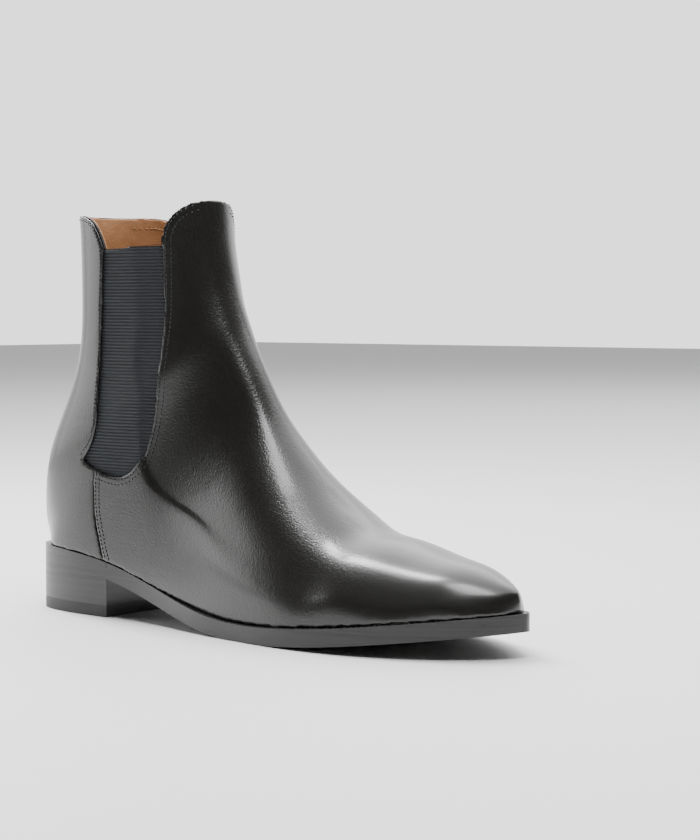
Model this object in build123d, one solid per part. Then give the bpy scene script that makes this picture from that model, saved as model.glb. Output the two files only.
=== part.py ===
from build123d import *
import os
from math import cos, pi, sin

# Right chelsea boot, men's EU 42, welted leather sole and stacked heel, in millimetres.
# +X is the toe, +Y the wearer's left (the inner side of the foot), +Z up.
# The origin is on the ground, in the middle of the boot's outline.

# Thicknesses of the upper's three layers and the clearance left between them.
leather = 1.4
backing = 1.0
lining = 1.0
layer_gap = 0.25
backing_depth = leather + layer_gap
lining_depth = backing_depth + backing + layer_gap
inside_depth = lining_depth + lining + layer_gap

# Thicknesses of the bottom's layers.
welt_thick = 2.7
outsole_thick = 5.5
insole_thick = 2.8
sock_thick = 1.0
sheet_gap = 0.2
insole_inset = 11.0
welt_inset = 12.0
rib_inset = 13.0
rib_width = 2.0

# Heel: levels of its layers above the ground and the plane of its front face.
top_piece_top = 6.0
lower_lift_top = 11.2
upper_lift_top = 15.2
heel_breast_x = -84.4
breast_hollow = 3.0

# The leather is pleated solid in the tip of the toe, so the hollow ends behind it.
hollow_end_x = 146.0

# Bend of the back panel above the heel counter, where the collar opens.
bend_z = 97.0
bend_gap = 0.3

# Metal pieces.
shank_length = 105.0
shank_width = 15.0
shank_thick = 1.2
shank_middle_x = -62.0
nail_radius = 1.1
pin_radius = 0.8
pin_recess = 0.2
pin_length = 4.5
stud_clearance = 0.05

# Gore edges hidden between the leather and the lining.
gore_margin = 7.0
gore_margin_gap = 0.4
gore_middle_x = -73.0
gore_side_run = 10.0
gore_turn_z = 92.0
gore_turn_run = 12.0

# Limits that lie well outside the boot.
far_x = 170.0
far_y = 70.0
deep_z = -60.0
high_z = 230.0

# The last, as girth stations from the toe to the top of the leg. Each one has its point on the
# front line (x, z), its point on the sole or back line (x, z), and its outer and inner half widths.
# The sole line runs below the sole, so that the side walls meet the sole upright.
stations = [
    ((148.3, 24), (148.3, 13), 3, 1),
    ((147.5, 27.5), (147.5, 8), 6, 3),
    ((144, 31), (144, 0), 13.5, 9.5),
    ((134, 35.5), (134, -3), 23.5, 19),
    ((117, 40.5), (117, -12), 33.5, 30.5),
    ((95, 45), (95, -21), 42, 39),
    ((72, 49.5), (71, -26), 46, 43.5),
    ((51.5, 57.5), (44, -26), 47, 45.5),
    ((33, 70.5), (10, -26), 44.5, 44),
    ((16, 87), (-37, -26), 38.5, 38.5),
    ((3, 103), (-95, -26), 33, 33.5),
    ((-8, 121), (-148, -22), 31.5, 31),
    ((-15, 133), (-149, 12), 32, 31.5),
    ((-20.5, 143), (-149.5, 36), 33, 32),
    ((-24.5, 151.5), (-151, 56), 32.5, 32),
    ((-28.5, 161), (-144.5, 80), 31, 32),
    ((-32, 171.5), (-130, 107.5), 30, 32),
    ((-36, 186), (-121, 138), 30.5, 32),
    ((-37.8, 196), (-120, 165), 31, 32),
    ((-39, 206), (-120.5, 191), 31.5, 32.3),
    ((-39.5, 216), (-121, 216), 32, 32.5),
]
upper_squareness = 2.15
lower_squareness = 2.5
widest_low = 0.5
widest_at_instep = 0.42
quarter_points = 4

# Outer edge of the welt and outsole in plan, from the toe round the outer side and back.
sole_plan = [
    (151, 0), (146, -10.5), (130, -27), (110, -38.5), (90, -45.5), (65, -49.5), (40, -49.5),
    (15, -46.5), (-10, -42.5), (-35, -36.5), (-60, -32.5), (-84, -31.5), (-121.5, -29.5),
    (-142.5, -20.5), (-151, 0), (-142.5, 20.5), (-121.5, 29), (-84, 28.5), (-60, 28.5),
    (-30, 33), (0, 43), (30, 49.5), (55, 50.5), (75, 48), (92, 43), (110, 34.5), (128, 24),
    (143, 12),
]

half_length = 151.0
mean_half_width = 40.0

# Top of the welt in side view, from the heel to the toe.
welt_top = [
    (-153, 32.6), (-110, 31), (-84, 27.2), (-60, 21.3), (-35, 15), (-10, 10.4), (10, 8.3),
    (38, 8.3), (65, 10.2), (90, 12.8), (120, 16.4), (153, 20.2),
]

# Side view of the gore's visible opening, clockwise from its rear top corner.
gore_top = [(-86.5, 182.5), (-51.8, 184.5)]
gore_front = [(-51.8, 184.5), (-50.5, 150), (-51, 122), (-54, 100), (-59, 83)]
gore_bottom = [(-59, 83), (-64, 76), (-73, 71), (-84, 71.5), (-95, 75), (-101, 78)]
gore_rear = [(-101, 78), (-94, 86), (-90.5, 96), (-90, 120), (-88.5, 155), (-86.5, 182.5)]

# Side view of the top edge, from the front tab over the gore to the back tab.
front_tab = [(-30, 208), (-38, 207), (-44, 203.5), (-49, 197.5), (-51.6, 190), (-51.8, 184.5)]
back_tab = [(-86.5, 182.5), (-90, 189.5), (-95, 195.5), (-103, 198.8), (-115, 199.5)]

# Side view of the lapped side seam from the sole to the gore.
side_seam = [(-86, 20), (-89.5, 36), (-93, 50), (-93.5, 62), (-92, 74)]

# Where the toe puff ends and how high the heel counter stands at the back and at its wings.
puff_end_x = 98.0
counter_edge = [(-60, 15), (-72, 46), (-90, 62), (-115, 76), (-160, 84)]


def side_line(points):
    """Smooth line through points of the side view."""
    return Spline([Plane.XZ.from_local_coords((x, z, 0)) for x, z in points])


def side_polyline(points):
    """Straight runs through points of the side view."""
    return Polyline([Plane.XZ.from_local_coords((x, z, 0)) for x, z in points])


def side_face(*lines):
    """Closed face in the side view from lines that meet end to end."""
    return make_face(Wire([edge for line in lines for edge in line.edges()]))


def across(face, low_y=-far_y, high_y=far_y):
    """Prism of a side-view face between two distances across the boot."""
    solid = extrude(face, amount=2 * far_y, both=True)
    keep = Box(4 * far_x, high_y - low_y, 4 * high_z)
    return solid & keep.moved(Location((0, (low_y + high_y) / 2, 0)))


def station_wire(station, depth, side):
    """Half of one girth station, moved in by depth and closed along the boot's middle plane."""
    front, back, outer_half, inner_half = station
    toe_share = min(max((front[0] - 100) / 45, 0), 1)
    run = Vector(front[0] - back[0], 0, front[1] - back[1])
    way = run.normalized()
    low = Vector(back[0] - depth * toe_share, 0, back[1]) + way * depth
    span = run.length - 2 * depth
    half = inner_half if side > 0 else outer_half
    reach = max(half - depth * (1 + 0.8 * toe_share), 0.3 * half)
    widest = widest_low if front[0] > 60 or front[1] > 140 else widest_at_instep
    upper = []
    lower = []
    for step in range(quarter_points + 1):
        angle = pi / 2 * step / quarter_points
        rise = cos(angle) ** (2 / upper_squareness)
        drop = cos(angle) ** (2 / lower_squareness)
        out_up = Vector(0, side * reach * sin(angle) ** (2 / upper_squareness), 0)
        out_down = Vector(0, side * reach * sin(angle) ** (2 / lower_squareness), 0)
        upper.append(low + way * (span * (widest + (1 - widest) * rise)) + out_up)
        lower.append(low + way * (span * widest * (1 - drop)) + out_down)
    lower[-1] = upper[-1]
    sideways = Vector(0, side, 0)
    arc_up = Spline(upper, tangents=[sideways, -way])
    arc_down = Spline(lower[::-1], tangents=[-way, -sideways])
    return Wire([arc_up, arc_down, Line(lower[0], upper[0])])


def half_form(depth, side):
    """Outer or inner half of the boot's form, moved in by depth."""
    return Solid.make_loft([station_wire(row, depth, side) for row in stations])


def sole_band(upper_lift, lower_lift):
    """Side-view band that follows the top of the welt, between two heights measured from it."""
    upper_edge = side_line([(x, z + upper_lift) for x, z in welt_top])
    lower_edge = side_line([(x, z + lower_lift) for x, z in reversed(welt_top)])
    toe_end = Line(upper_edge @ 1, lower_edge @ 0)
    heel_end = Line(lower_edge @ 1, upper_edge @ 0)
    return across(side_face(upper_edge, toe_end, lower_edge, heel_end))


def sole_column(low_z, top_z, inset=0.0):
    """Upright column over the sole's plan outline, drawn in by about inset all round."""
    share_x = 1 - inset / half_length
    share_y = 1 - inset / mean_half_width
    points = [Vector(x * share_x, y * share_y, low_z) for x, y in sole_plan]
    outline = make_face(Wire([Spline(points, periodic=True)]))
    return extrude(outline, amount=top_z - low_z, dir=(0, 0, 1))


def ground_box(low_x, high_x, low_z, high_z_level):
    """Block across the whole boot between two planes across X and two levels."""
    block = Box(high_x - low_x, 2 * far_y, high_z_level - low_z)
    middle = ((low_x + high_x) / 2, 0, (low_z + high_z_level) / 2)
    return block.moved(Location(middle))


def heel_column():
    """Upright column of the heel, with its slightly hollow front face."""
    column = sole_column(0, 40)
    rear = ground_box(-far_x, heel_breast_x, 0, 40)
    corner_y = 32.0
    radius = (corner_y**2 + breast_hollow**2) / (2 * breast_hollow)
    centre_x = heel_breast_x - breast_hollow + radius
    hollow = Cylinder(radius, 80).moved(Location((centre_x, 0, 20)))
    return (column & rear) - hollow


def widened(points, margin):
    """Points of the gore's outline moved outwards at the sides and the bottom."""
    result = []
    for x, z in points:
        sideways = min(max((x - gore_middle_x) / gore_side_run, -1), 1)
        down = min(max((gore_turn_z - z) / gore_turn_run, 0), 1)
        result.append((x + margin * sideways, z - margin * down))
    return result


def gore_prism(margin):
    """Prism of the gore's opening, with a margin at its sides and bottom."""
    lines = [side_polyline(widened(gore_top, margin))]
    lines += [side_line(widened(run, margin)) for run in (gore_front, gore_bottom, gore_rear)]
    return across(side_face(*lines))


def below_top_edge():
    """Side-view region under the boot's top edge."""
    front = side_line(front_tab)
    rest = side_polyline([(-115, 199.5), (-far_x, 199.5), (-far_x, deep_z), (far_x, deep_z),
                          (far_x, 208), (-30, 208)])
    return across(side_face(front, side_polyline(gore_top[::-1]), side_line(back_tab), rest))


def behind_side_seam():
    """Side-view region of the back panel, whose edge runs up through the gore."""
    seam = side_line(side_seam)
    rest = side_polyline([(-92, 74), (-75, 100), (-70, high_z), (-far_x, high_z),
                          (-far_x, deep_z), (-86, deep_z), (-86, 20)])
    return across(side_face(seam, rest))


def counter_region():
    """Side-view region under the heel counter's top edge."""
    edge = side_line(counter_edge)
    rest = side_polyline([(-160, 84), (-far_x, 84), (-far_x, deep_z), (-60, deep_z), (-60, 15)])
    return across(side_face(edge, rest))


def blunt_half_form(depth, side):
    """Half form that ends in a flat face short of the pointed tip."""
    return half_form(depth, side) & ground_box(-far_x, hollow_end_x - depth, deep_z, high_z)


def half_layer(depth, thickness, trims, side):
    """One half of a layer of the upper, cut to shape by trims before it is hollowed."""
    solid = blunt_half_form(depth, side) if depth > 0 else half_form(depth, side)
    for trim in trims:
        solid = solid & trim
    return solid - blunt_half_form(depth + thickness, side)


def save(piece, name):
    """Write one piece as its own file."""
    export_step(piece, "parts/" + name + ".step")


os.makedirs("parts", exist_ok=True)

trims = [sole_band(high_z, sheet_gap), below_top_edge()]
gore_opening = gore_prism(0)
gore_pocket = gore_prism(gore_margin + gore_margin_gap)
gore_patch = gore_prism(gore_margin)
back_region = behind_side_seam()
heel_part = ground_box(-far_x, far_x, deep_z, bend_z)
leg_part = ground_box(-far_x, far_x, bend_z + bend_gap, high_z)
puff_region = ground_box(puff_end_x, far_x, deep_z, high_z)
rear_of_puff = ground_box(-far_x, puff_end_x - layer_gap, deep_z, high_z)
counter = counter_region()
beyond_counter = counter.moved(Location((layer_gap, 0, layer_gap)))

# Leather panels, which leave the gore open, each in one piece round the boot.
fronts = []
heels = []
legs = []
for side in (-1, 1):
    panel = half_layer(0, leather, trims, side) - gore_opening
    rear = panel & back_region
    fronts.append(panel - back_region)
    heels.append(rear & heel_part)
    legs.append(rear & leg_part)
save(fronts[0] + fronts[1], "front_upper")
save(heels[0] + heels[1], "back_quarter_heel")
save(legs[0] + legs[1], "back_quarter_leg")

# Lining panels, backing cloth and stiffeners, cut as a left and a right piece, and the elastic
# gores, whose edges are held between the leather and the lining.
for side, side_name in ((-1, "outer_side"), (1, "inner_side")):
    inside_panel = half_layer(lining_depth, lining, trims, side) - gore_opening
    rear = inside_panel & back_region
    save(inside_panel - back_region, "front_lining_" + side_name)
    save(rear & heel_part, "heel_lining_" + side_name)
    save(rear & leg_part, "back_lining_" + side_name)
    middle = half_layer(backing_depth, backing, trims, side)
    save(middle & gore_patch, "gore_" + side_name)
    save(middle & puff_region, "toe_puff_" + side_name)
    around = (middle - gore_pocket) & rear_of_puff
    save(around & counter, "heel_counter_" + side_name)
    cloth = around - beyond_counter
    save(cloth - back_region, "front_backing_" + side_name)
    save(cloth & back_region & leg_part, "back_backing_" + side_name)

# Insole, its stitching rib, the cork between the ribs, the steel shank and the sock.
insole_bottom = 0.4
insole_top = insole_bottom + insole_thick
underside = sheet_gap - welt_thick
sock_bottom = insole_top + sheet_gap
under_insole = sole_band(insole_bottom - sheet_gap, underside)
ahead_of_heel = ground_box(heel_breast_x + 6, far_x, deep_z, high_z)
insole_column = sole_column(0, 45, insole_inset)
save(insole_column & sole_band(insole_top, insole_bottom), "insole")
save(insole_column & sole_band(sock_bottom + sock_thick, sock_bottom), "sock_lining")
rib = (sole_column(0, 45, rib_inset) - sole_column(0, 45, rib_inset + rib_width)) & ahead_of_heel
save(rib & under_insole, "insole_rib")
cork = sole_column(0, 45, rib_inset + rib_width + layer_gap) & under_insole

shank_low = underside + sheet_gap
shank_band = sole_band(shank_low + shank_thick, shank_low)
shank_block = Box(shank_length, shank_width, 2 * high_z).moved(Location((shank_middle_x, 0, 0)))
shank = fillet(shank_block.edges().filter_by(Axis.Z), shank_width / 2 - 1) & shank_band
bed_band = sole_band(shank_low + shank_thick + sheet_gap, underside - sheet_gap)
bed_block = Box(shank_length + 1, shank_width + 1, 2 * high_z)
shank_bed = bed_block.moved(Location((shank_middle_x, 0, 0))) & bed_band
save(shank, "steel_shank")
save(cork - shank_bed, "cork_filler")

# Welt and heel rand: one strip under the edge of the upper, in two lengths that meet at the heel.
strip = (sole_column(0, 45) - sole_column(0, 45, welt_inset)) & sole_band(0, -welt_thick)
save(strip & ground_box(heel_breast_x, far_x, deep_z, high_z), "welt")
save(strip & ground_box(-far_x, heel_breast_x - layer_gap, deep_z, high_z), "heel_rand")

# Nails from the heel seat into the lifts, and pins in the rubber top piece.
nail_spots = [(-95, -17), (-95, 16), (-118, -18), (-118, 17), (-136, 0)]
nail_low = top_piece_top + 2.0
nail_high = 24.0
pin_spots = [(-91, -24), (-91, 21), (-106, -25), (-106, 24), (-124, -22.5), (-124, 22),
             (-138, -16), (-138, 16), (-145, 0)]
pin_high = pin_recess + pin_length


def studs(spots, radius, low_z, top_z):
    """Upright round studs at a list of spots, between two levels."""
    stud = Cylinder(radius, top_z - low_z)
    return [stud.moved(Location((x, y, (low_z + top_z) / 2))) for x, y in spots]


def drilled(solid, holes):
    """Solid with a list of studs cut out of it."""
    for hole in holes:
        solid = solid - hole
    return solid


nail_holes = studs(nail_spots, nail_radius + stud_clearance, nail_low, nail_high + stud_clearance)
pin_holes = studs(pin_spots, pin_radius + stud_clearance, 0, pin_high + stud_clearance)
save(Compound(studs(nail_spots, nail_radius, nail_low, nail_high)), "heel_nails")
save(Compound(studs(pin_spots, pin_radius, pin_recess, pin_high)), "top_piece_pins")

# Outsole, whose tread lies flat on the ground at the ball of the foot.
above_ground = ground_box(-far_x, far_x, 0, high_z)
sole_layer = sole_band(-welt_thick, -welt_thick - outsole_thick)
outsole = sole_column(-5, 45) & sole_layer & above_ground
save(drilled(outsole, nail_holes), "outsole")

# Stacked heel: three leather lifts and a rubber top piece.
heel = heel_column()
under_sole = sole_band(-welt_thick - outsole_thick, deep_z)
for low_z, top_z, holes, name in (
    (0, top_piece_top, pin_holes, "rubber_top_piece"),
    (top_piece_top, lower_lift_top, nail_holes, "heel_lower_lift"),
    (lower_lift_top, upper_lift_top, nail_holes, "heel_upper_lift"),
    (upper_lift_top, high_z, nail_holes, "heel_wedge_lift"),
):
    lift = heel & ground_box(-far_x, far_x, low_z, top_z) & under_sole
    save(drilled(lift, holes), name)
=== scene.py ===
import math

import bmesh
import bpy
from mathutils import Matrix, Vector
from mathutils.bvhtree import BVHTree


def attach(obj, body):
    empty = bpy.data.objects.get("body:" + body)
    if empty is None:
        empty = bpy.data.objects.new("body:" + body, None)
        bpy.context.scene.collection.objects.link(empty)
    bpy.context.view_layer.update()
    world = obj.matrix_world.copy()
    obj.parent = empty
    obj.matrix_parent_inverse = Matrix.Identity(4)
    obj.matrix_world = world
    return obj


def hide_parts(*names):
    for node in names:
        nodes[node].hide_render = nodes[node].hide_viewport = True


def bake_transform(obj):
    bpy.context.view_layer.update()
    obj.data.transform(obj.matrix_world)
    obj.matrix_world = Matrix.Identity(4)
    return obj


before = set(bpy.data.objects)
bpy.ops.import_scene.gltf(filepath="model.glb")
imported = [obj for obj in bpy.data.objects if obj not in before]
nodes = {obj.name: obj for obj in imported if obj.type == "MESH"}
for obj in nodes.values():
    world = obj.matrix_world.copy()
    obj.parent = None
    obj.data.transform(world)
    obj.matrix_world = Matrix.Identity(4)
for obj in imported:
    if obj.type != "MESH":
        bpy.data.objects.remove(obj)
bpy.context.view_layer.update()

# Right chelsea boot in metres. +X is the toe, +Y the inner side of the foot, +Z up.
# The CAD nodes give every place and size; the pieces made here stand for the soft leather,
# lining and elastic and add the sewing threads.

scene = bpy.context.scene


# ---------------------------------------------------------------- leather panels
# The upper is two sheets of polished black calf, lasted wet over the form: a front panel and a
# back panel. Each takes the CAD sheet's shape with an even mesh and soft edges.
def new_material(name, colour, roughness, **settings):
    material = bpy.data.materials.new(name)
    material.use_nodes = True
    shader = material.node_tree.nodes["Principled BSDF"]
    shader.inputs["Base Color"].default_value = (*colour, 1)
    shader.inputs["Roughness"].default_value = roughness
    for socket, value in settings.items():
        shader.inputs[socket.replace("_", " ")].default_value = value
    return material


def new_effect(name, inputs):
    """An empty shader node group with number inputs, which puts out a normal and a roughness."""
    group = bpy.data.node_groups.new(name, "ShaderNodeTree")
    for socket, value in inputs.items():
        made = group.interface.new_socket(socket, in_out="INPUT", socket_type="NodeSocketFloat")
        made.default_value = value
    group.interface.new_socket("Normal", in_out="OUTPUT", socket_type="NodeSocketVector")
    group.interface.new_socket("Roughness", in_out="OUTPUT", socket_type="NodeSocketFloat")
    return group, group.nodes.new("NodeGroupInput"), group.nodes.new("NodeGroupOutput")


def put_out_roughness(group, pattern, group_in, group_out):
    """Roughness that goes up and down with a pattern, by the group's own inputs."""
    spread = group.nodes.new("ShaderNodeMapRange")
    group.links.new(pattern, spread.inputs["Value"])
    for target, operation in (("To Min", "SUBTRACT"), ("To Max", "ADD")):
        limit = group.nodes.new("ShaderNodeMath")
        limit.operation = operation
        group.links.new(group_in.outputs["Roughness"], limit.inputs[0])
        group.links.new(group_in.outputs["Roughness change"], limit.inputs[1])
        group.links.new(limit.outputs["Value"], spread.inputs[target])
    group.links.new(spread.outputs["Result"], group_out.inputs["Roughness"])


def use_effect(material, group, **values):
    """Puts an effect into a material with its own values and joins it to the shader."""
    tree = material.node_tree
    node = tree.nodes.new("ShaderNodeGroup")
    node.node_tree = group
    for socket, value in values.items():
        node.inputs[socket.replace("_", " ")].default_value = value
    for output in node.outputs:
        tree.links.new(output, tree.nodes["Principled BSDF"].inputs[output.name])


# Pebbled grain: cells for the pebbles, noise for broad unevenness, and a fade towards +X that
# keeps the toe smooth.
grain, grain_in, grain_out = new_effect(
    "grain", {"Pebbles per metre": 900, "Pebble depth": 0.0001, "Broad depth": 0.0003,
              "Smooth from": 1.0, "Roughness": 0.3, "Roughness change": 0.05})
smooth_run = 0.06
smooth_share = 0.12
place = grain.nodes.new("ShaderNodeTexCoord")
cells = grain.nodes.new("ShaderNodeTexVoronoi")
cells.feature = "SMOOTH_F1"
grain.links.new(place.outputs["Object"], cells.inputs["Vector"])
grain.links.new(grain_in.outputs["Pebbles per metre"], cells.inputs["Scale"])
broad = grain.nodes.new("ShaderNodeTexNoise")
broad.inputs["Scale"].default_value = 28
broad.inputs["Detail"].default_value = 3
grain.links.new(place.outputs["Object"], broad.inputs["Vector"])
along_boot = grain.nodes.new("ShaderNodeSeparateXYZ")
grain.links.new(place.outputs["Object"], along_boot.inputs["Vector"])
fade_end = grain.nodes.new("ShaderNodeMath")
fade_end.inputs[1].default_value = smooth_run
grain.links.new(grain_in.outputs["Smooth from"], fade_end.inputs[0])
fade = grain.nodes.new("ShaderNodeMapRange")
fade.interpolation_type = "SMOOTHSTEP"
fade.inputs["To Min"].default_value = 1
fade.inputs["To Max"].default_value = smooth_share
grain.links.new(along_boot.outputs["X"], fade.inputs["Value"])
grain.links.new(grain_in.outputs["Smooth from"], fade.inputs["From Min"])
grain.links.new(fade_end.outputs["Value"], fade.inputs["From Max"])
pebble_height = grain.nodes.new("ShaderNodeMath")
pebble_height.operation = "MULTIPLY"
grain.links.new(cells.outputs["Distance"], pebble_height.inputs[0])
grain.links.new(fade.outputs["Result"], pebble_height.inputs[1])
broad_bump = grain.nodes.new("ShaderNodeBump")
grain.links.new(broad.outputs["Fac"], broad_bump.inputs["Height"])
grain.links.new(grain_in.outputs["Broad depth"], broad_bump.inputs["Distance"])
pebble_bump = grain.nodes.new("ShaderNodeBump")
grain.links.new(pebble_height.outputs["Value"], pebble_bump.inputs["Height"])
grain.links.new(grain_in.outputs["Pebble depth"], pebble_bump.inputs["Distance"])
grain.links.new(broad_bump.outputs["Normal"], pebble_bump.inputs["Normal"])
grain.links.new(pebble_bump.outputs["Normal"], grain_out.inputs["Normal"])
put_out_roughness(grain, broad.outputs["Fac"], grain_in, grain_out)

calf = new_material("black calf", (0.011, 0.0105, 0.0095), 0.3, Coat_Weight=0.35,
                    Coat_Roughness=0.16)
use_effect(calf, grain, Pebbles_per_metre=1150, Pebble_depth=0.00011, Broad_depth=0.0003,
           Smooth_from=0.055, Roughness=0.3, Roughness_change=0.04)

# Thin places are swollen while the mesh is made even, and go back to size after it.
swelling = 0.0003


def even_copy(name, sources, mesh_size, smoothing):
    """One piece with an even mesh from the closed sheets of several CAD nodes."""
    mesh = bpy.data.meshes.new(name)
    work = bmesh.new()
    for source in sources:
        work.from_mesh(nodes[source].data)
    bmesh.ops.remove_doubles(work, verts=work.verts, dist=0.00001)
    work.to_mesh(mesh)
    work.free()
    piece = bpy.data.objects.new(name, mesh)
    scene.collection.objects.link(piece)
    swell = piece.modifiers.new("swell thin places", "DISPLACE")
    swell.mid_level = 0
    swell.strength = swelling
    remesh = piece.modifiers.new("even mesh", "REMESH")
    remesh.mode = "VOXEL"
    remesh.voxel_size = mesh_size
    soften = piece.modifiers.new("soft edges", "SMOOTH")
    soften.factor = 0.5
    soften.iterations = smoothing
    shrink = piece.modifiers.new("back to size", "DISPLACE")
    shrink.mid_level = 0
    shrink.strength = -swelling
    settled = bpy.data.meshes.new_from_object(
        piece.evaluated_get(bpy.context.evaluated_depsgraph_get()))
    piece.modifiers.clear()
    piece.data = settled
    piece.data.shade_smooth()
    return piece


def finish_with(piece, material, slot_name, *replaced):
    piece.data.materials.clear()
    piece.data.materials.append(material)
    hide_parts(*replaced)


front = even_copy("front_upper_leather", ["front_upper"], 0.00098, 4)
finish_with(front, calf, "black_calf", "front_upper")
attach(front, "boot")

# The back panel is one sheet in the real boot. In the CAD it is cut at the bending line, and
# the swelling closes that cut.
back = even_copy("back_upper_leather", ["back_quarter_heel", "back_quarter_leg"], 0.0009, 4)
finish_with(back, calf, "black_calf", "back_quarter_heel", "back_quarter_leg")


# ---------------------------------------------------------------- lining
# Tan vegetable tanned calf, matt and a little creased, glued inside the upper: a front part
# and a back part.
tan = new_material("tan lining leather", (0.43, 0.205, 0.085), 0.62)
use_effect(tan, grain, Pebbles_per_metre=1300, Pebble_depth=0.00012, Broad_depth=0.004,
           Smooth_from=1.0, Roughness=0.62, Roughness_change=0.08)

lining_mesh_size = 0.0009
front_lining_nodes = ["front_lining_outer_side", "front_lining_inner_side"]
front_lining = even_copy("front_lining_leather", front_lining_nodes, lining_mesh_size, 2)
finish_with(front_lining, tan, "tan_lining", *front_lining_nodes)
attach(front_lining, "boot")

back_lining_nodes = ["heel_lining_outer_side", "heel_lining_inner_side",
                     "back_lining_outer_side", "back_lining_inner_side"]
back_lining = even_copy("back_lining_leather", back_lining_nodes, lining_mesh_size, 2)
finish_with(back_lining, tan, "tan_lining", *back_lining_nodes)


# ---------------------------------------------------------------- gores
# Two panels of woven elastic, rubber threads covered in black yarn in level ribs, sewn between
# leather and lining.
rib_pitch = 0.0016
yarns_per_metre = 1800
elastic = new_material("ribbed elastic", (0.02, 0.024, 0.033), 0.75)
tree = elastic.node_tree
place = tree.nodes.new("ShaderNodeTexCoord")
height = tree.nodes.new("ShaderNodeSeparateXYZ")
tree.links.new(place.outputs["Object"], height.inputs["Vector"])
turns = tree.nodes.new("ShaderNodeMath")
turns.operation = "MULTIPLY"
turns.inputs[1].default_value = 2 * math.pi / rib_pitch
tree.links.new(height.outputs["Z"], turns.inputs[0])
rib = tree.nodes.new("ShaderNodeMath")
rib.operation = "SINE"
tree.links.new(turns.outputs["Value"], rib.inputs[0])
yarn = tree.nodes.new("ShaderNodeTexNoise")
yarn.inputs["Scale"].default_value = yarns_per_metre
tree.links.new(place.outputs["Object"], yarn.inputs["Vector"])
yarn_bump = tree.nodes.new("ShaderNodeBump")
yarn_bump.inputs["Distance"].default_value = 0.00015
tree.links.new(yarn.outputs["Fac"], yarn_bump.inputs["Height"])
rib_bump = tree.nodes.new("ShaderNodeBump")
rib_bump.inputs["Distance"].default_value = 0.00022
tree.links.new(rib.outputs["Value"], rib_bump.inputs["Height"])
tree.links.new(yarn_bump.outputs["Normal"], rib_bump.inputs["Normal"])
# The ramp below paints the rib grooves darker and the crests lighter by the rib's height. This
# is painted shade in the grooves, over the elastic's own blue-black.
rib_share = tree.nodes.new("ShaderNodeMapRange")
rib_share.inputs["From Min"].default_value = -1
tree.links.new(rib.outputs["Value"], rib_share.inputs["Value"])
rib_groove_painted_shade = tree.nodes.new("ShaderNodeValToRGB")
rib_groove_painted_shade.color_ramp.elements[0].position = 0.15
rib_groove_painted_shade.color_ramp.elements[0].color = (0.004, 0.005, 0.007, 1)
rib_groove_painted_shade.color_ramp.elements[1].position = 0.85
rib_groove_painted_shade.color_ramp.elements[1].color = (0.016, 0.019, 0.025, 1)
tree.links.new(rib_share.outputs["Result"], rib_groove_painted_shade.inputs["Fac"])
tree.links.new(rib_groove_painted_shade.outputs["Color"], tree.nodes["Principled BSDF"].inputs["Base Color"])
tree.links.new(rib_bump.outputs["Normal"], tree.nodes["Principled BSDF"].inputs["Normal"])

for side in ("outer", "inner"):
    gore = even_copy(f"elastic_gore_{side}", [f"gore_{side}_side"], 0.0009, 1)
    finish_with(gore, elastic, "elastic", f"gore_{side}_side")
    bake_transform(gore)


# ---------------------------------------------------------------- middle layer
# Backing cloth, toe puff and heel counter lie glued between leather and lining. Only the
# cloth's dark edge can be seen, round the top.
backing_cloth = new_material("backing cloth", (0.03, 0.03, 0.032), 0.9)
use_effect(backing_cloth, grain, Pebbles_per_metre=1800, Pebble_depth=0.0002,
           Broad_depth=0.0002, Smooth_from=1.0, Roughness=0.9, Roughness_change=0.04)
stiffener = new_material("stiffener sheet", (0.55, 0.5, 0.42), 0.8)
use_effect(stiffener, grain, Pebbles_per_metre=900, Pebble_depth=0.0001, Broad_depth=0.0003,
           Smooth_from=1.0, Roughness=0.8, Roughness_change=0.06)


def paint(name, material):
    for slot in nodes[name].material_slots:
        slot.material = material


for side in ("outer", "inner"):
    paint(f"front_backing_{side}_side", backing_cloth)
    paint(f"back_backing_{side}_side", backing_cloth)
    paint(f"toe_puff_{side}_side", stiffener)
    paint(f"heel_counter_{side}_side", stiffener)


# ---------------------------------------------------------------- insole and filling
# The insole of firm leather, its canvas rib, the cork that fills the space inside the rib, and
# the spring steel shank that carries the waist. A thin tan sock lies on top.
insole_leather = new_material("insole leather", (0.5, 0.33, 0.19), 0.7)
use_effect(insole_leather, grain, Pebbles_per_metre=700, Pebble_depth=0.0001,
           Broad_depth=0.0004, Smooth_from=1.0, Roughness=0.7, Roughness_change=0.08)
canvas = new_material("rib canvas", (0.66, 0.6, 0.48), 0.85)
use_effect(canvas, grain, Pebbles_per_metre=1600, Pebble_depth=0.0002, Broad_depth=0.0002,
           Smooth_from=1.0, Roughness=0.85, Roughness_change=0.05)
cork = new_material("cork", (0.36, 0.22, 0.12), 0.85)
use_effect(cork, grain, Pebbles_per_metre=420, Pebble_depth=0.0005, Broad_depth=0.0006,
           Smooth_from=1.0, Roughness=0.85, Roughness_change=0.08)
steel = new_material("spring steel", (0.55, 0.55, 0.56), 0.32, Metallic=1.0)
paint("insole", insole_leather)
paint("sock_lining", tan)
paint("insole_rib", canvas)
paint("cork_filler", cork)
paint("steel_shank", steel)


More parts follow.
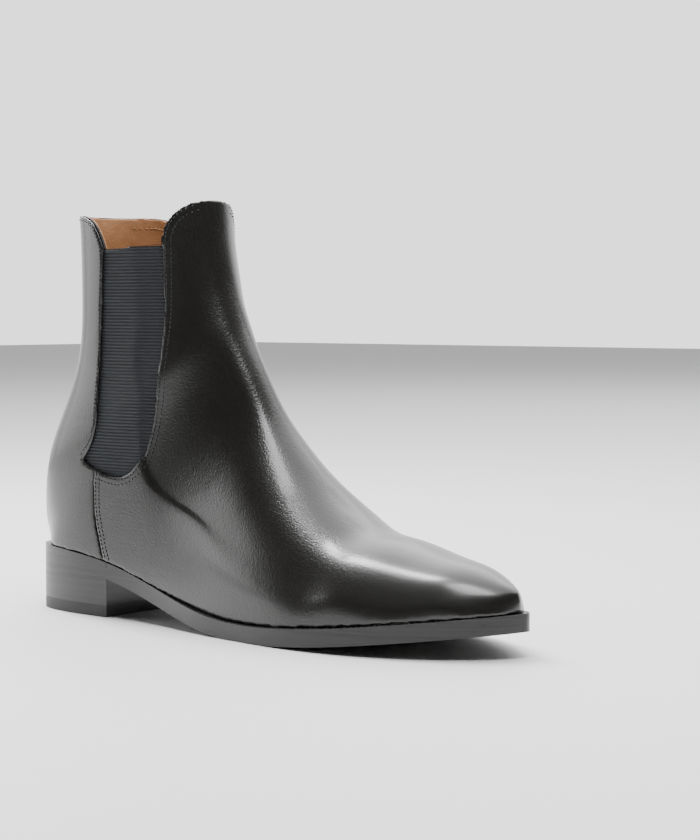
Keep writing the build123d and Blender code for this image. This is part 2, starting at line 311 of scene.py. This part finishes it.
# ---------------------------------------------------------------- welt, rand and outsole
# Sole leather with its edge trimmed, inked black, waxed and ironed, which leaves fine level
# lines round it.
lines, lines_in, lines_out = new_effect(
    "level lines", {"Stretch": 18, "Lines per metre": 900, "Depth": 0.00012,
                    "Roughness": 0.3, "Roughness change": 0.06})
place = lines.nodes.new("ShaderNodeTexCoord")
stretch = lines.nodes.new("ShaderNodeCombineXYZ")
lines.links.new(lines_in.outputs["Stretch"], stretch.inputs["X"])
lines.links.new(lines_in.outputs["Stretch"], stretch.inputs["Y"])
lines.links.new(lines_in.outputs["Lines per metre"], stretch.inputs["Z"])
scaled = lines.nodes.new("ShaderNodeVectorMath")
scaled.operation = "MULTIPLY"
lines.links.new(place.outputs["Object"], scaled.inputs[0])
lines.links.new(stretch.outputs["Vector"], scaled.inputs[1])
streaks = lines.nodes.new("ShaderNodeTexNoise")
streaks.inputs["Scale"].default_value = 1
lines.links.new(scaled.outputs["Vector"], streaks.inputs["Vector"])
line_bump = lines.nodes.new("ShaderNodeBump")
lines.links.new(streaks.outputs["Fac"], line_bump.inputs["Height"])
lines.links.new(lines_in.outputs["Depth"], line_bump.inputs["Distance"])
lines.links.new(line_bump.outputs["Normal"], lines_out.inputs["Normal"])
put_out_roughness(lines, streaks.outputs["Fac"], lines_in, lines_out)

edge_ink = new_material("inked sole edge", (0.016, 0.016, 0.0165), 0.34, Coat_Weight=0.12,
                        Coat_Roughness=0.25)
use_effect(edge_ink, lines, Stretch=14, Lines_per_metre=700, Depth=0.0001, Roughness=0.34,
           Roughness_change=0.05)
for name in ("welt", "heel_rand", "outsole"):
    paint(name, edge_ink)


# ---------------------------------------------------------------- heel
# Three lifts of stacked leather, inked like the sole, a matt rubber top piece, and the brass
# nails and pins that hold them.
heel_ink = new_material("inked heel lift", (0.017, 0.017, 0.0175), 0.36, Coat_Weight=0.1,
                        Coat_Roughness=0.3)
use_effect(heel_ink, lines, Stretch=9, Lines_per_metre=420, Depth=0.0002, Roughness=0.36,
           Roughness_change=0.08)
rubber = new_material("black rubber", (0.018, 0.018, 0.018), 0.55)
use_effect(rubber, lines, Stretch=30, Lines_per_metre=300, Depth=0.00008, Roughness=0.55,
           Roughness_change=0.05)
brass = new_material("brass", (0.78, 0.56, 0.24), 0.3, Metallic=1.0)
for name in ("heel_wedge_lift", "heel_upper_lift", "heel_lower_lift"):
    paint(name, heel_ink)
paint("rubber_top_piece", rubber)
paint("heel_nails", brass)
paint("top_piece_pins", brass)


# ---------------------------------------------------------------- sewing of the upper
# Rows of lockstitch in waxed black thread, seen as short raised threads along the panels'
# edges: two rows round the front panel and the side seam, and one along the back panel.
black_thread = new_material("black thread", (0.02, 0.02, 0.022), 0.42)
stitch_spacing = 0.0021
stitch_length = 0.0017
thread_radius = 0.00035
longest_gap = 0.004
row_near = 0.0018
row_far = 0.0042
curve_steps = 12
far_side = 0.1


def side_points(*pairs):
    """Side-view points from millimetres."""
    return [Vector(pair) / 1000 for pair in pairs]


def along(points, spacing):
    """Evenly spaced places on the smooth curve through the given side-view points."""
    ends = [2 * points[0] - points[1], *points, 2 * points[-1] - points[-2]]
    fine = []
    for first, second, third, fourth in zip(ends, ends[1:], ends[2:], ends[3:]):
        for step in range(curve_steps):
            share = step / curve_steps
            fine.append(0.5 * (2 * second + (third - first) * share
                               + (2 * first - 5 * second + 4 * third - fourth) * share ** 2
                               + (3 * second - first - 3 * third + fourth) * share ** 3))
    fine.append(points[-1])
    places = []
    left = 0.0
    for start, end in zip(fine, fine[1:]):
        length = (end - start).length
        while left < length:
            places.append(start.lerp(end, left / length))
            left += spacing
        left -= length
    return places


def beside(places, distance):
    """The same places moved sideways, to the left of their direction of travel."""
    moved = []
    for index, place in enumerate(places):
        before = places[max(index - 1, 0)]
        after = places[min(index + 1, len(places) - 1)]
        ahead = (after - before).normalized()
        moved.append(place + Vector((-ahead.y, ahead.x)) * distance)
    return moved


def add_stitch(work, middle, ahead, up, half_sizes):
    """One raised thread: a small ball drawn out along the row."""
    across = ahead.cross(up).normalized()
    turn = Matrix((ahead, across, up)).transposed().to_4x4()
    size = Matrix.Diagonal((*half_sizes, 1))
    bmesh.ops.create_icosphere(work, subdivisions=1, radius=1,
                               matrix=Matrix.Translation(middle) @ turn @ size)


def thread_piece(name, work, thread):
    mesh = bpy.data.meshes.new(name)
    work.to_mesh(mesh)
    work.free()
    mesh.shade_smooth()
    mesh.materials.append(thread)
    piece = bpy.data.objects.new(name, mesh)
    scene.collection.objects.link(piece)
    return piece


def sew(name, panel, rows, radius, thread, from_outside=True):
    """Threads on a panel along rows of side-view places, on both sides of the boot."""
    surface = BVHTree.FromObject(panel, bpy.context.evaluated_depsgraph_get())
    work = bmesh.new()
    for side in (-1, 1):
        inward = Vector((0, -side, 0))
        for row in rows:
            hits = []
            for place in row:
                if from_outside:
                    found = surface.ray_cast(Vector((place.x, side * far_side, place.y)), inward)
                else:
                    found = surface.ray_cast(Vector((place.x, 0, place.y)), -inward)
                hits.append(found[:2])
            for (first, up), (second, _) in zip(hits, hits[1:]):
                if not first or not second or (second - first).length > longest_gap:
                    continue
                middle = (first + second) / 2 + up * radius * 0.25
                add_stitch(work, middle, (second - first).normalized(), up,
                           (stitch_length / 2, radius, radius))
    return thread_piece(name, work, thread)


# The front panel's free edge, from the top of its tab down round the elastic.
front_edge = side_points((-30, 208), (-38, 207), (-44, 203.5), (-49, 197.5), (-51.6, 190),
                         (-51.6, 180), (-50.5, 150), (-51, 122), (-54, 100), (-59, 83),
                         (-64, 76), (-73, 71), (-84, 71.5), (-92, 74))
front_places = along(front_edge, stitch_spacing)
front_rows = [beside(front_places, row_near), beside(front_places, row_far)]
front_thread = sew("front_edge_thread", front, front_rows, thread_radius, black_thread)
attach(front_thread, "boot")

# The side seam, where the front panel laps over the back panel.
seam_edge = side_points((-92, 74), (-93.5, 62), (-93, 50), (-89.5, 36), (-86, 26))
seam_places = along(seam_edge, stitch_spacing)
seam_rows = [beside(seam_places, row_near), beside(seam_places, row_far)]
seam_thread = sew("side_seam_thread", front, seam_rows, thread_radius, black_thread)
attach(seam_thread, "boot")

# The back panel's edge along the elastic and round its tab.
back_edge = side_points((-92, 74), (-97, 76), (-100.5, 79), (-94, 86), (-90.5, 96), (-90, 120),
                        (-88.5, 155), (-86.8, 180), (-90, 189.5), (-95, 195.5), (-103, 198.8),
                        (-115, 199.5))
back_row = beside(along(back_edge, stitch_spacing), row_near)
back_thread = sew("back_edge_thread", back, [back_row], thread_radius, black_thread)

# One row in tan thread through the lining inside the back tab.
tan_thread = new_material("tan thread", (0.62, 0.42, 0.25), 0.6)
tan_thread_radius = 0.0003
tab_edge = back_edge[7:]
lining_row = beside(along(tab_edge, stitch_spacing), 0.005)
lining_thread = sew("lining_thread", back_lining, [lining_row], tan_thread_radius, tan_thread,
                    from_outside=False)

for piece in (back, back_lining, back_thread, lining_thread):
    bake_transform(piece)


# ---------------------------------------------------------------- sewing of the welt
# Lockstitch through welt and outsole, which shows on the welt's top round the forefoot.
welt_surface = BVHTree.FromObject(nodes["welt"], bpy.context.evaluated_depsgraph_get())
sweep_centre = Vector((0.075, 0, 0.012))
sweep_steps = 720
sweep_angle = 280
rim_distance = 0.0012
welt_stitch_spacing = 0.0026
welt_stitch_sizes = (0.001, 0.0003, 0.00022)
above_welt = 0.05
welt_hits = []
for step in range(sweep_steps):
    angle = math.radians(sweep_angle * (step / sweep_steps - 0.5))
    outward = Vector((math.cos(angle), math.sin(angle), 0))
    rim = welt_surface.find_nearest(sweep_centre + outward * 0.2)[0]
    inward = sweep_centre - rim
    inward.z = 0
    start = rim + inward.normalized() * rim_distance
    start.z = above_welt
    hit, normal, _, _ = welt_surface.ray_cast(start, Vector((0, 0, -1)))
    if hit:
        welt_hits.append((hit, normal))
work = bmesh.new()
last = welt_hits[0][0]
for (hit, up), (following, _) in zip(welt_hits, welt_hits[1:]):
    if (hit - last).length < welt_stitch_spacing:
        continue
    add_stitch(work, hit + up * 0.0001, (following - hit).normalized(), up, welt_stitch_sizes)
    last = hit
welt_thread = thread_piece("welt_thread", work, black_thread)
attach(welt_thread, "boot")


# ---------------------------------------------------------------- camera
# A long lens a little above the ground, from the boot's outer side towards the toe.
camera_direction = Vector((-0.66164, 0.74811, -0.05077))
camera_data = bpy.data.cameras.new("camera")
camera_data.lens = 97.4
camera_data.sensor_width = 36
camera = bpy.data.objects.new("camera", camera_data)
camera.location = (0.7493, -0.7917, 0.1552)
camera.rotation_mode = "QUATERNION"
camera.rotation_quaternion = camera_direction.to_track_quat("-Z", "Y")
scene.collection.objects.link(camera)
scene.camera = camera


# ---------------------------------------------------------------- floor and light
# A pale floor and a pale sweep behind the boot, a dim room on the near side, a long soft light
# over the toe, a smaller one in front, a weak one at the heel and a wash on the floor.
floor_mesh = bpy.data.meshes.new("floor")
work = bmesh.new()
bmesh.ops.create_grid(work, x_segments=1, y_segments=1, size=6)
work.to_mesh(floor_mesh)
work.free()
floor = bpy.data.objects.new("floor", floor_mesh)
scene.collection.objects.link(floor)
floor_mesh.materials.append(new_material("pale floor", (0.86, 0.86, 0.86), 0.6))

world = bpy.data.worlds.new("room")
world.use_nodes = True
tree = world.node_tree
look = tree.nodes.new("ShaderNodeTexCoord")
facing = tree.nodes.new("ShaderNodeVectorMath")
facing.operation = "DOT_PRODUCT"
facing.inputs[1].default_value = camera_direction.normalized()
tree.links.new(look.outputs["Generated"], facing.inputs[0])
sweep_light = tree.nodes.new("ShaderNodeMapRange")
sweep_light.interpolation_type = "SMOOTHSTEP"
sweep_light.inputs["From Min"].default_value = 0.35
sweep_light.inputs["From Max"].default_value = 0.8
sweep_light.inputs["To Min"].default_value = 0.06
sweep_light.inputs["To Max"].default_value = 2.0
tree.links.new(facing.outputs["Value"], sweep_light.inputs["Value"])
tree.links.new(sweep_light.outputs["Result"], tree.nodes["Background"].inputs["Strength"])
tree.nodes["Background"].inputs["Color"].default_value = (1, 1, 1, 1)
scene.world = world


def soft_light(name, place, aim, width, length, power):
    data = bpy.data.lights.new(name, "AREA")
    data.shape = "RECTANGLE"
    data.size = width
    data.size_y = length
    data.energy = power
    lamp = bpy.data.objects.new(name, data)
    lamp.location = place
    lamp.rotation_mode = "QUATERNION"
    lamp.rotation_quaternion = (Vector(aim) - Vector(place)).to_track_quat("-Z", "Y")
    scene.collection.objects.link(lamp)


soft_light("toe strip", (-0.62, 0.10, 1.15), (0.06, 0, 0.05), 0.24, 0.9, 26)
soft_light("top box", (0.35, -0.15, 1.15), (0, 0, 0.05), 0.4, 0.6, 10)
soft_light("heel card", (-1.3, -0.55, 0.45), (-0.1, 0, 0.08), 0.8, 0.8, 6)
soft_light("floor wash", (-0.4, 1.2, 1.8), (-0.4, 0.9, 0), 3, 3, 70)
